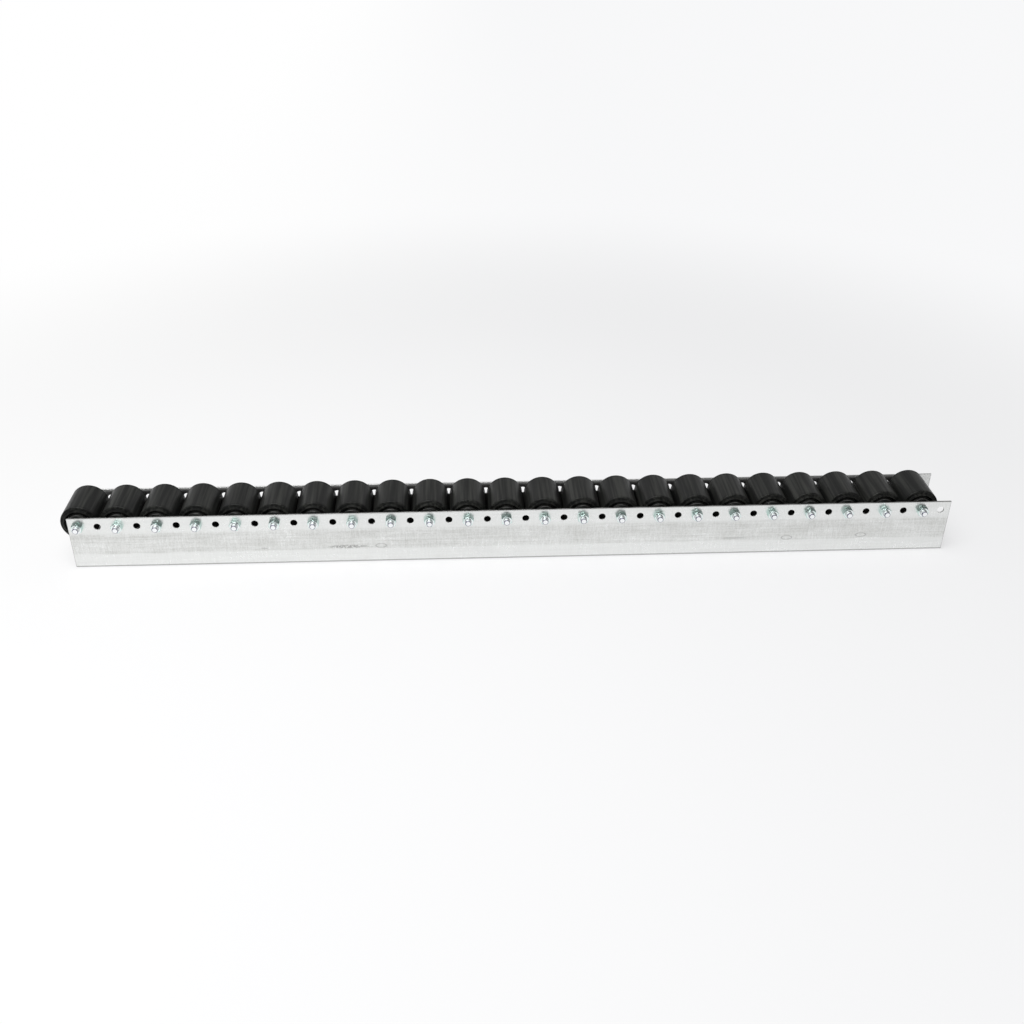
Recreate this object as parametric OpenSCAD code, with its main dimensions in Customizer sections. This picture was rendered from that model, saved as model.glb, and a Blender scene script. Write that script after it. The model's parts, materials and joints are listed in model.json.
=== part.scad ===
// Flow rack roller track: an open-topped folded steel channel that carries a row of free-turning
// plastic rollers. Each roller runs on two ball bearings, on a sleeve clamped between the channel
// walls by a through bolt and a nut. Between the axles the walls have free holes for fixing the track.
//
// Frame: X runs along the track, Y across it and Z up. The origin is the centre of the channel's
// underside. The nuts are on the -Y side and the bolt heads on the +Y side.

/* [Track] */
// Number of rollers along the track
roller_count = 23; // [3:1:40]
// Distance from one axle to the next
roller_pitch = 50; // [49:0.5:70]
// Distance from the channel's left end to the first axle
end_margin = 12.5; // [8:0.5:17]

/* [Channel] */
// Outside width of the channel
channel_width = 76; // [70:0.5:100]
// Outside height of the channel
channel_height = 75; // [60:0.5:120]
// Thickness of the steel sheet
sheet = 2; // [1.5:0.1:3]
// Inside radius of the two folds
fold_radius = 1.5; // [0.5:0.1:4]
// Depth of the row of holes below the top edge
hole_drop = 12.5; // [8:0.5:25]
// How much wider a punched hole is than the bolt
hole_clearance = 1; // [0.5:0.1:2]

/* [Roller] */
// Diameter of the running surface
roller_d = 48; // [43:0.5:49]
// Length of the running surface
tread_length = 56; // [40:1:58]
// Radius that rounds each end of the running surface
tread_round = 1; // [0.2:0.1:1.4]
// Outside diameter of the raised collar on each end
collar_d = 39; // [37.5:0.5:40]
// Wall of the raised collar
collar_wall = 1.5; // [0.8:0.1:2]
// How far the collar stands out of the roller's shoulder
collar_height = 3; // [1:0.1:4]
// Wall of the hub round each bearing
hub_wall = 1.8; // [1:0.1:2]
// How far the hub's face lies behind the collar's face
hub_setback = 2; // [0.5:0.1:3]
// Depth of the ring-shaped pocket between collar and hub
pocket_depth = 16; // [6:0.5:22]
// Width of the step that the bearing rests against, inside the hub
seat_step = 1.5; // [0.5:0.1:2]

/* [Bearing] */
// Bore of the ball bearing
bearing_bore = 12; // [11:0.5:13]
// Outside diameter of the ball bearing
bearing_d = 28; // [26:0.5:29]
// Width of the ball bearing
bearing_width = 8; // [7:0.5:10]
// Thickness of each race from its plain side to its shoulder
race_wall = 2.2; // [1.8:0.1:2.6]
// Diameter of a ball
ball_d = 4.76; // [4:0.01:5]
// Number of balls in a bearing
ball_count = 8; // [6:1:8]
// Running clearance between a ball and its grooves
ball_play = 0.1; // [0.05:0.01:0.3]
// Radial width of the cage's side rings
cage_wall = 1.2; // [0.8:0.1:1.6]
// Thickness of the cage's side rings
cage_rail = 0.4; // [0.2:0.1:0.5]
// Diameter of the pins that join the cage's side rings
cage_pin_d = 0.8; // [0.4:0.1:1]
// Gap between a ball and the cage's side rings
cage_play = 0.1; // [0.05:0.05:0.3]
// Thickness of a seal
seal_thickness = 0.8; // [0.4:0.1:1]
// How far a seal is let into the outer race
seal_rebate = 0.5; // [0.2:0.1:0.8]
// Gap between a seal's lip and the inner race
seal_gap = 0.3; // [0.1:0.05:0.4]
// How far a seal lies behind the bearing's face
seal_setback = 0.2; // [0.1:0.05:0.5]

/* [Axle] */
// Diameter of the through bolt
bolt_d = 8; // [6:0.5:9]
// Width across the flats of bolt head and nut
hex_flats = 13; // [12.5:0.1:17]
// Height of the bolt head
head_height = 5.3; // [4:0.1:8]
// Height of the nut
nut_height = 6.5; // [5:0.1:9]
// Length of bolt that stands out of the nut
bolt_tail = 5; // [2:0.5:15]
// Length of the chamfer on the bolt's end
tail_chamfer = 0.9; // [0.3:0.1:1.5]
// Radial clearance between the bolt and the sleeve round it
sleeve_clearance = 0.2; // [0.05:0.05:0.5]
// Wall of the collar that spaces a bearing from the channel
spacer_wall = 2; // [1:0.1:2.1]

/* [Hidden] */
$fn = 64;
cut = 1;               // overshoot of a cutting body
fit = 0.02;            // radial clearance of pieces assembled by hand
hex_chamfer = 30;      // slope of the corners' chamfer on head and nut, in degrees
nut_turn = 37;         // turn from one nut to the next, in degrees

channel_length = roller_count * roller_pitch;
hole_pitch = roller_pitch / 2;
hole_d = bolt_d + hole_clearance;
axle_z = channel_height - hole_drop;
wall_y = channel_width / 2;
inside_y = wall_y - sheet;

tread_r = roller_d / 2;
shoulder_y = tread_length / 2 + tread_round;
roller_end_y = shoulder_y + collar_height;
hub_y = roller_end_y - hub_setback;
hub_r = bearing_d / 2 + hub_wall;
collar_r = collar_d / 2;
pocket_r = collar_r - collar_wall;
bearing_in_y = roller_end_y - bearing_width;

inner_race_r = bearing_bore / 2 + race_wall;
outer_race_r = bearing_d / 2 - race_wall;
ball_orbit_r = (inner_race_r + outer_race_r) / 2;
groove_r = ball_d / 2 + ball_play;

sleeve_r = bearing_bore / 2 - fit;
spacer_r = bearing_bore / 2 + spacer_wall;
nut_y = -wall_y - nut_height;
tail_y = nut_y - bolt_tail;
hex_corner_r = hex_flats / 2 / cos(30);

STATIC_NODES = [
    "channel", "axle_bolts", "axle_nuts", "axle_sleeves",
    "spacer_collars", "inner_races", "bearing_balls", "ball_cages",
];

function two_digits(i) = i < 10 ? str("0", i) : str(i);
function roller_name(i) = str("roller_", two_digits(i));
function bearing_name(i) = str("roller_bearings_", two_digits(i));
function axle_x(i) = -channel_length / 2 + end_margin + (i - 1) * roller_pitch;

// Places its children on axle i, with their Z axis turned to +Y.
module on_axle(i) {
    translate([axle_x(i), 0, axle_z]) rotate([-90, 0, 0]) children();
}

// Places its children on both sides of the roller, mirrored about its middle.
module both_ends() {
    children();
    mirror([0, 0, 1]) children();
}

// A ring from radius r0 to r1, between the heights z0 and z1.
module ring(r0, r1, z0, z1) {
    rotate_extrude() translate([r0, z0]) square([r1 - r0, z1 - z0]);
}

// ---- channel ----

// Upright section of a round-cornered trough: width half_w each way, floor at z0.
module trough_outline(half_w, z0, r) {
    translate([-half_w, z0 + r]) square([2 * half_w, channel_height - z0 - r]);
    translate([-half_w + r, z0]) square([2 * (half_w - r), channel_height - z0]);
    for (side = [-1, 1]) translate([side * (half_w - r), z0 + r]) circle(r);
}

module channel_section() {
    difference() {
        trough_outline(wall_y, 0, fold_radius + sheet);
        trough_outline(inside_y, sheet, fold_radius);
        translate([-inside_y, channel_height - cut]) square([2 * inside_y, 2 * cut]);
    }
}

module channel() {
    color("gainsboro") difference() {
        translate([-channel_length / 2, 0, 0])
            rotate([90, 0, 90]) linear_extrude(channel_length) channel_section();
        for (i = [1:roller_count], half = [0, 1])
            translate([axle_x(i) + half * hole_pitch, 0, axle_z])
                rotate([90, 0, 0]) cylinder(d = hole_d, h = channel_width + 2 * cut, center = true);
    }
}

// ---- axle hardware ----

// Hexagon from z = 0 to h, with the corners of its free ends chamfered.
module hexagon(h, lower_chamfer) {
    flat_r = hex_flats / 2;
    drop = (hex_corner_r - flat_r) * tan(hex_chamfer);
    low = lower_chamfer ? drop : 0;
    intersection() {
        cylinder(r = hex_corner_r, h = h, $fn = 6);
        rotate_extrude() polygon([
            [0, 0],
            [lower_chamfer ? flat_r : hex_corner_r, 0],
            [hex_corner_r, low],
            [hex_corner_r, h - drop],
            [flat_r, h],
            [0, h],
        ]);
    }
}

module axle_bolt() {
    translate([0, 0, wall_y]) hexagon(head_height, false);
    translate([0, 0, tail_y + tail_chamfer])
        cylinder(d = bolt_d, h = wall_y - tail_y - tail_chamfer + head_height / 2);
    translate([0, 0, tail_y])
        cylinder(d1 = bolt_d - 2 * tail_chamfer, d2 = bolt_d, h = tail_chamfer);
}

module axle_nut(i) {
    difference() {
        translate([0, 0, nut_y]) rotate([0, 0, nut_turn * i]) hexagon(nut_height, true);
        translate([0, 0, nut_y - cut]) cylinder(r = bolt_d / 2 + fit, h = nut_height + 2 * cut);
    }
}

module axle_sleeve() {
    ring(bolt_d / 2 + sleeve_clearance, sleeve_r, -inside_y, inside_y);
}

module spacer_collar() {
    ring(sleeve_r + fit, spacer_r, roller_end_y, inside_y);
}

module axle_bolts() {
    color("lightsteelblue") for (i = [1:roller_count]) on_axle(i) axle_bolt();
}

module axle_nuts() {
    color("lightsteelblue") for (i = [1:roller_count]) on_axle(i) axle_nut(i);
}

module axle_sleeves() {
    color("silver") for (i = [1:roller_count]) on_axle(i) axle_sleeve();
}

module spacer_collars() {
    color("silver") for (i = [1:roller_count]) on_axle(i) both_ends() spacer_collar();
}

// ---- ball bearing, at the +Y end of a roller ----

module ball_groove() {
    rotate_extrude() translate([ball_orbit_r, bearing_in_y + bearing_width / 2]) circle(groove_r);
}

module inner_race() {
    difference() {
        ring(bearing_bore / 2, inner_race_r, bearing_in_y, roller_end_y);
        ball_groove();
    }
}

// Seal seat at the bearing's outer face; z is the seat's floor and it opens upwards.
module seal_seat(z, h) {
    translate([0, 0, z]) cylinder(r = outer_race_r + seal_rebate, h = h);
}

module outer_race() {
    seat_depth = seal_thickness + seal_setback + fit;
    difference() {
        ring(outer_race_r, bearing_d / 2, bearing_in_y, roller_end_y);
        ball_groove();
        seal_seat(roller_end_y - seat_depth, seat_depth + cut);
        seal_seat(bearing_in_y - cut, seat_depth + cut);
    }
}

module seals() {
    seal_r = outer_race_r + seal_rebate - fit;
    for (z = [bearing_in_y + seal_setback, roller_end_y - seal_setback - seal_thickness])
        ring(inner_race_r + seal_gap, seal_r, z, z + seal_thickness);
}

module on_each_ball() {
    for (k = [0:ball_count - 1]) rotate([0, 0, k * 360 / ball_count])
        translate([ball_orbit_r, 0, bearing_in_y + bearing_width / 2]) children();
}

// Two side rings joined by a pin between each pair of balls.
module ball_cage() {
    mid = bearing_in_y + bearing_width / 2;
    rail_z = ball_d / 2 + cage_play;
    rail_r0 = ball_orbit_r - cage_wall / 2;
    rail_r1 = ball_orbit_r + cage_wall / 2;
    translate([0, 0, mid]) {
        both_ends() ring(rail_r0, rail_r1, rail_z, rail_z + cage_rail);
        rotate([0, 0, 180 / ball_count]) for (k = [0:ball_count - 1])
            rotate([0, 0, k * 360 / ball_count]) translate([ball_orbit_r, 0, 0])
                cylinder(d = cage_pin_d, h = 2 * rail_z + cage_rail, center = true);
    }
}

module inner_races() {
    color("lightgray") for (i = [1:roller_count]) on_axle(i) both_ends() inner_race();
}

module bearing_balls() {
    color("lightgray") for (i = [1:roller_count]) on_axle(i) both_ends() on_each_ball() sphere(d = ball_d);
}

module ball_cages() {
    color("saddlebrown") for (i = [1:roller_count]) on_axle(i) both_ends() ball_cage();
}

module roller_bearings(i) {
    on_axle(i) both_ends() {
        color("lightgray") outer_race();
        color("black") seals();
    }
}

// ---- roller ----

// Half of the roller's section, from its middle to its +Y end: radius across, length up.
module roller_half_section() {
    bore_r = bearing_d / 2 - seat_step;
    difference() {
        union() {
            square([tread_r, tread_length / 2]);
            square([tread_r - tread_round, shoulder_y]);
            translate([tread_r - tread_round, tread_length / 2]) circle(tread_round);
            square([collar_r, roller_end_y]);
        }
        translate([0, -cut]) square([bore_r, roller_end_y + 2 * cut]);
        translate([0, bearing_in_y]) square([bearing_d / 2, roller_end_y]);
        translate([0, hub_y]) square([pocket_r, roller_end_y]);
        translate([hub_r, roller_end_y - pocket_depth]) square([pocket_r - hub_r, roller_end_y]);
    }
}

module roller(i) {
    color("dimgray") on_axle(i) both_ends() rotate_extrude() roller_half_section();
}

channel();
axle_bolts();
axle_nuts();
axle_sleeves();
spacer_collars();
inner_races();
bearing_balls();
ball_cages();
for (i = [1:roller_count]) {
    roller(i);
    roller_bearings(i);
}
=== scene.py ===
import json
import math
from functools import cache

import bmesh
import bpy
from bpy.props import FloatProperty, FloatVectorProperty, IntProperty, PointerProperty
from bpy.types import Operator, Panel, PropertyGroup
from mathutils import Matrix, Vector

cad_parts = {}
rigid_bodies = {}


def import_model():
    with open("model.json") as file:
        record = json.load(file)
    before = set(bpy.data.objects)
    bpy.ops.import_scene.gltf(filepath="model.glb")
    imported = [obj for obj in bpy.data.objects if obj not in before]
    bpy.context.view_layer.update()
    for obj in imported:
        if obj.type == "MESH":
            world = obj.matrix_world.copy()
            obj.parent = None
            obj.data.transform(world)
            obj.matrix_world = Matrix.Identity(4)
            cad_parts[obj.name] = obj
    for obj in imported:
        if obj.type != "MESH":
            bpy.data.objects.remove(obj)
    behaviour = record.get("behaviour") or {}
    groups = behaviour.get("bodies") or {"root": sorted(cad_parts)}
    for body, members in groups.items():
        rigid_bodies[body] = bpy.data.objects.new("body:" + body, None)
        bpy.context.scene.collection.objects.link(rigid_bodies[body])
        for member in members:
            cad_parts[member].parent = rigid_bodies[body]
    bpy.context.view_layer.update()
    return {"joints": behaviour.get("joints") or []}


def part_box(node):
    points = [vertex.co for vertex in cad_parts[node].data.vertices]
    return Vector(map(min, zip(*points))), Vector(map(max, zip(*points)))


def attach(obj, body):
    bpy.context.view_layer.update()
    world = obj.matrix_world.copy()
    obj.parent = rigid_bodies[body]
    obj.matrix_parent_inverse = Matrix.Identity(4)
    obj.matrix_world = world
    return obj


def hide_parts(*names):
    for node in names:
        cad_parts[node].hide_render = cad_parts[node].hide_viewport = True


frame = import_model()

bl_info = {
    "name": "Flow rack roller track",
    "version": (1, 0, 0),
    "blender": (4, 5, 0),
    "location": "3D View > Sidebar > Roller track",
    "description": "Dresses a gravity roller track: channel, rollers, bearings and axle hardware",
    "category": "Object",
}

# What the frame says: one joint, and so one axle and one body, for each roller.
JOINTS = frame["joints"]
AXLES = [Vector(joint["pos_m"]) for joint in JOINTS]
ROLLER_BODIES = [joint["child"] for joint in JOINTS]
TRACK_BODY = JOINTS[0]["parent"]
PITCH = AXLES[1].x - AXLES[0].x
CHANNEL_LOW, CHANNEL_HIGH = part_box("channel")
ROLLER_LOW, ROLLER_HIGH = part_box("roller_01")
BOLTS_LOW, BOLTS_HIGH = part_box("axle_bolts")
NUTS_LOW, NUTS_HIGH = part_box("axle_nuts")

# The channel's middle and half length along X; the radius and half length of a roller's tread.
MIDDLE = (CHANNEL_LOW.x + CHANNEL_HIGH.x) / 2
REACH = (CHANNEL_HIGH.x - CHANNEL_LOW.x) / 2
TREAD = (ROLLER_HIGH.z - ROLLER_LOW.z) / 2
TREAD_END = 0.029

# A whole turn, and the turn that lays along Y what stands along Z.
TURN = 2 * math.pi
ALONG_Y = (TURN / 4, 0.0, 0.0)

# Steps round a roller, a ring or a hole, a hexagon, a thread and a cage's pin.
ROLLER_STEPS = 96
RING_STEPS = 48
HEX_STEPS = 48
THREAD_STEPS = 24
PIN_STEPS = 12

# Hexagons: their faces against their flats, the chamfers' slope, the bore's mouth against the
# bore, and how much further each nut is turned than the one before it.
HEX_FACE = 0.95
HEX_SLOPE = math.tan(math.radians(30))
HEX_MOUTH = 1.09
NUT_TURN = math.radians(37)

# Marks on the near wall: x, z, half width and half height in metres, and a smudge's strength.
GRAINY_SMUDGE = (-0.220, 0.0245, 0.032, 0.0030)
SMUDGES = ((-0.329, 0.0245, 0.006, 0.0014, 0.5), (0.290, 0.025, 0.022, 0.002, 0.4))
SWIRLS = ((-0.177, 0.025, 0.0075, 0.0032), (0.361, 0.024, 0.0075, 0.0032),
          (0.461, 0.026, 0.0075, 0.0032))


# ---- sizes, colours and studio ----

def length(name, description, default):
    """A length in metres."""
    return FloatProperty(name=name, description=description, default=default, min=0.0,
                         precision=5, unit="LENGTH", subtype="DISTANCE")


def colour(name, description, default):
    """A linear colour."""
    return FloatVectorProperty(name=name, description=description, default=default,
                               min=0.0, max=1.0, size=3, subtype="COLOR")


def point(name, description, default):
    """A point in metres."""
    return FloatVectorProperty(name=name, description=description, default=default, size=3,
                               unit="LENGTH", subtype="TRANSLATION")


def tilt(name, description, degrees):
    """An angle, which is given in degrees."""
    return FloatProperty(name=name, description=description, default=math.radians(degrees),
                         unit="ROTATION", subtype="ANGLE")


def fraction(name, description, default, **limits):
    """A share or a strength."""
    return FloatProperty(name=name, description=description, default=default, min=0.0,
                         subtype="FACTOR", **limits)


class TrackSizes(PropertyGroup):
    """Sizes of the track's pieces, in metres."""

    sheet: length("Sheet", "Thickness of the channel's sheet", 0.002)
    fold_radius: length("Fold radius", "Inside radius of the channel's folds", 0.0015)
    hole_radius: length("Hole radius", "Radius of the holes in the walls", 0.0045)
    cut_edge: length("Cut edge", "Rounding of the sheet's cut edges", 0.0002)

    tread_length: length("Tread length", "Length of a roller's running surface", 0.056)
    tread_round: length("Tread rounding", "Rounding at the ends of the tread", 0.001)
    collar_radius: length("Collar radius", "Outside radius of a roller's collar", 0.0195)
    collar_wall: length("Collar wall", "Wall of the collar", 0.0015)
    hub_radius: length("Hub radius", "Outside radius of the hub round the bearing", 0.0158)
    hub_setback: length("Hub setback", "How far the hub lies behind the collar's face", 0.002)
    pocket_depth: length("Pocket depth", "Depth of the pocket between collar and hub", 0.016)
    seat_step: length("Seat step", "Step that the bearing rests against", 0.0015)

    bearing_bore: length("Bearing bore", "Radius of the bearing's bore", 0.006)
    bearing_radius: length("Bearing radius", "Outside radius of the bearing", 0.014)
    bearing_width: length("Bearing width", "Width of the bearing", 0.008)
    race_wall: length("Race wall", "Thickness of a race at its shoulder", 0.0022)
    race_edge: length("Race edge", "Rounding of the races' edges", 0.0003)
    groove_radius: length("Groove radius", "Radius of the ball groove", 0.00248)
    ball_radius: length("Ball radius", "Radius of a ball", 0.00238)
    shield: length("Shield", "Thickness of the bearing's shields", 0.0008)
    shield_setback: length("Shield setback", "Depth of a shield behind the bearing's face", 0.0002)
    shield_gap: length("Shield gap", "Gap between a shield and the inner race", 0.0003)
    shield_rebate: length("Shield rebate", "How far a shield is let into the outer race", 0.0005)

    bolt_radius: length("Bolt radius", "Radius of the through bolt", 0.004)
    thread_pitch: length("Thread pitch", "Pitch of the thread", 0.00125)
    thread_depth: length("Thread depth", "Depth of the thread", 0.00068)
    tip_chamfer: length("Tip chamfer", "Length of the chamfer on the bolt's end", 0.0007)
    hex_flats: length("Across flats", "Bolt heads and nuts across their flats", 0.013)
    hex_edge: length("Hexagon edge", "Rounding of bolt heads and nuts", 0.00018)
    sleeve_wall: length("Sleeve wall", "Wall of the axle's sleeve", 0.00178)
    spacer_wall: length("Spacer wall", "Wall of the collars beside the channel's walls", 0.002)
    fit: length("Fit", "Radial clearance of fitted pieces", 0.00002)
    cage_wall: length("Cage wall", "Width of the cage's side rails", 0.0012)
    cage_rail: length("Cage rail", "Thickness of the cage's side rails", 0.0004)
    cage_pin: length("Cage pin", "Diameter of the pins between the balls", 0.0008)
    cage_play: length("Cage play", "Gap between a ball and a side rail", 0.0001)
    ball_count: IntProperty(
        name="Balls", description="Number of balls in a bearing", default=8, min=3)


class TrackColours(PropertyGroup):
    """Base colours of the track's finishes."""

    zinc: colour("Galvanised sheet", "Colour of the channel's zinc coat", (0.865, 0.875, 0.865))
    zinc_dull: colour("Dull zinc", "Colour of the rubbed and oxidised zinc", (0.60, 0.605, 0.58))
    # Also the colour of the painted shade along the fold and the top edge.
    marks_and_painted_shade: colour("Marks", "Colour of smudges, of the lines at the ends, and of painted shade at the fold and the top edge", (0.27, 0.27, 0.265))
    # Painted shade: the inside of the channel is painted darker than the sheet.
    inside_painted_shade: colour("Inside of the channel", "Colour of the painted shade inside the channel", (0.20, 0.20, 0.195))
    plate: colour("Zinc plate", "Colour of nuts and bolts", (0.95, 0.97, 0.98))
    plate_tint: colour("Passivation", "Tint in the nuts' and bolts' coat", (0.51, 0.73, 0.67))
    thread: colour("Thread", "Colour of the bolts' threads", (0.78, 0.82, 0.82))
    rim: colour("Bolt chamfer", "Colour of the chamfers on the bolts' ends", (0.22, 0.21, 0.29))
    plastic: colour("Roller plastic", "Colour of the rollers", (0.0066, 0.0070, 0.0067))
    plastic_worn: colour("Rubbed plastic", "Colour of the rollers' streaks", (0.028, 0.029, 0.026))
    steel: colour("Ground steel", "Colour of races, sleeves and spacers", (0.44, 0.44, 0.43))
    seal: colour("Bearing seal", "Colour of the bearings' rubber seals", (0.014, 0.014, 0.014))
    cage: colour("Cage nylon", "Colour of the ball cages", (0.28, 0.19, 0.10))
    floor: colour("Floor", "Colour of the studio's floor", (0.90, 0.90, 0.905))
    # Painted light: the floor's even tone is brighter on the left than on the right.
    floor_left: colour("Floor, left", "Even tone of the floor on the left", (1.0, 1.0, 1.0))
    floor_right: colour("Floor, right", "Even tone on the right", (0.935, 0.937, 0.945))


class StudioSettings(PropertyGroup):
    """Camera, lamp, room light and floor."""

    camera_place: point("Camera place", "Where the camera stands", (-0.0721, -1.30765, 0.84026))
    camera_turn: tilt("Camera turn", "How far the camera looks to the right", 3.001)
    camera_dip: tilt("Camera dip", "How far the camera looks down", 31.137)
    camera_roll: tilt("Camera roll", "How far the camera leans", 0.403)
    focal_length: FloatProperty(
        name="Focal length", description="Lens on a 36 mm sensor, in millimetres",
        default=40.25, unit="CAMERA", subtype="DISTANCE_CAMERA")
    key_place: point("Key place", "Where the softbox hangs", (-0.62, -0.74, 2.15))
    key_size: length("Key size", "Width of the softbox", 1.9)
    key_power: FloatProperty(
        name="Key lamp", description="Power of the softbox", default=62.0, unit="POWER")
    backdrop: fraction("Backdrop light", "Strength of the pale backdrop behind the track", 0.335)
    room: fraction("Room light", "Strength of the light from the front and from overhead", 0.10)
    floor_share: fraction("Even floor", "How much of the floor's look is its even tone", 0.69,
                          max=1.0)


# ---- nodes ----

def arithmetic(operation, swapped=False):
    """A method of Value that adds this Math node."""
    def method(self, *others):
        return self.graph.math(operation, *((*others, self) if swapped else (self, *others)))
    return method


class Value:
    """A number that flows between nodes: Python's arithmetic on it adds Math nodes."""

    def __init__(self, graph, socket):
        self.graph = graph
        self.socket = socket

    __add__ = __radd__ = arithmetic("ADD")
    __mul__ = __rmul__ = arithmetic("MULTIPLY")
    __sub__ = arithmetic("SUBTRACT")
    __rsub__ = arithmetic("SUBTRACT", swapped=True)
    __truediv__ = arithmetic("DIVIDE")
    __rtruediv__ = arithmetic("DIVIDE", swapped=True)
    __mod__ = arithmetic("FLOORED_MODULO")
    __gt__ = arithmetic("GREATER_THAN")
    __lt__ = arithmetic("LESS_THAN")
    __abs__ = arithmetic("ABSOLUTE")


def socket_of(sockets, key):
    """The socket that has this place, identifier or name."""
    same = [socket for socket in sockets if socket.identifier == key]
    return same[0] if same else sockets[key]


class Graph:
    """A node tree under construction, of a material or of Geometry Nodes."""

    def __init__(self, tree):
        self.tree = tree
        tree.nodes.clear()

    def add(self, kind, values=None, **settings):
        """Adds a node: its settings first, then the values or links of its sockets."""
        node = self.tree.nodes.new(kind)
        for name, setting in settings.items():
            setattr(node, name, setting)
        for key, value in (values or {}).items():
            self.feed(node, key, value)
        return node

    def feed(self, node, key, value):
        """Links or sets the input that has this place, identifier or name."""
        socket = socket_of(node.inputs, key)
        value = value.socket if isinstance(value, Value) else value
        if isinstance(value, bpy.types.NodeSocket):
            self.tree.links.new(value, socket)
        else:
            socket.default_value = value

    def math(self, operation, *values):
        """What a Math node makes of these numbers."""
        node = self.add("ShaderNodeMath", dict(enumerate(values)), operation=operation)
        return Value(self, node.outputs[0])

    def vector(self, operation, *values):
        """What a Vector Math node makes of these vectors."""
        node = self.add("ShaderNodeVectorMath", dict(enumerate(values)), operation=operation)
        return node.outputs["Value" if operation == "LENGTH" else "Vector"]

    def axes(self, vector):
        """The three numbers of a vector."""
        node = self.add("ShaderNodeSeparateXYZ", {0: vector})
        return [Value(self, output) for output in node.outputs]

    def join(self, x, y, z):
        """A vector from three numbers."""
        return self.add("ShaderNodeCombineXYZ", {0: x, 1: y, 2: z}).outputs[0]

    def step(self, value, low, high):
        """A smooth step from 0 at low to 1 at high."""
        node = self.add("ShaderNodeMapRange", {
            "Value": value, "From Min": low, "From Max": high}, interpolation_type="SMOOTHSTEP")
        return Value(self, node.outputs["Result"])


class Finish(Graph):
    """A material under construction round one Principled shader."""

    def __init__(self, name, uniform):
        """uniform holds the shader's values that are the same all over the surface."""
        self.material = bpy.data.materials.new(name)
        self.material.use_nodes = True
        super().__init__(self.material.node_tree)
        self.shader = self.add("ShaderNodeBsdfPrincipled")
        self.output = self.add("ShaderNodeOutputMaterial", {
            "Surface": self.shader.outputs["BSDF"]})
        self.output.is_active_output = True
        for key, value in uniform.items():
            self.feed(self.shader, key, value)
        self.place = self.add("ShaderNodeTexCoord").outputs["Object"]
        self.x, self.y, self.z = self.axes(self.place)

    def noise(self, stretch, detail=2.0, roughness=0.5, place=None):
        """Noise from 0 to 1 with this many features in a metre along X, Y and Z."""
        scaled = self.vector("MULTIPLY", place or self.place, stretch)
        node = self.add("ShaderNodeTexNoise", {
            "Vector": scaled, "Scale": 1.0, "Detail": detail, "Roughness": roughness})
        return Value(self, node.outputs["Fac"])

    def mix(self, factor, first, second):
        """A colour between two colours."""
        node = self.add("ShaderNodeMix", {
            "Factor_Float": factor, "A_Color": opaque(first), "B_Color": opaque(second)},
            data_type="RGBA")
        return socket_of(node.outputs, "Result_Color")

    def bump(self, height, depth):
        """Feeds the shader's normal with a height from 0 to 1 that is depth metres high."""
        node = self.add("ShaderNodeBump", {"Strength": 1.0, "Distance": depth, "Height": height})
        self.feed(self.shader, "Normal", node.outputs["Normal"])

    def paint(self, base, roughness):
        """Feeds the shader's colour and roughness and returns the finished material."""
        self.feed(self.shader, "Base Color", base)
        self.feed(self.shader, "Roughness", roughness)
        return self.material

    def oval(self, x, z, wide, high):
        """0 in the middle of an oval on the walls, 1 on its edge and more outside it."""
        across, up = (self.x - x) / wide, (self.z - z) / high
        return across * across + up * up

    def spot(self, *oval):
        """1 in the middle of an oval on the walls, 0 outside it."""
        return 1.0 - self.step(self.oval(*oval), 0.1, 1.0)

    def swirl(self, *oval):
        """A faint oval line on the walls."""
        out = self.oval(*oval)
        return self.step(out, 0.45, 0.8) * (1.0 - self.step(out, 0.8, 1.3))

    def from_axle(self):
        """Distance from the nearest axle's line, in metres."""
        along = (self.x - (AXLES[0].x - PITCH / 2)) % PITCH - PITCH / 2
        across = self.z - AXLES[0].z
        return self.math("SQRT", along * along + across * across)

    def rings(self, fineness, detail):
        """Noise in fine rings round each axle."""
        return self.noise((fineness, 0, 0), detail, place=self.join(self.from_axle(), 0.0, 0.0))


def opaque(value):
    """A colour property as four numbers; sockets pass through."""
    return value if isinstance(value, bpy.types.NodeSocket) else (*value, 1.0)


# ---- finishes ----

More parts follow.
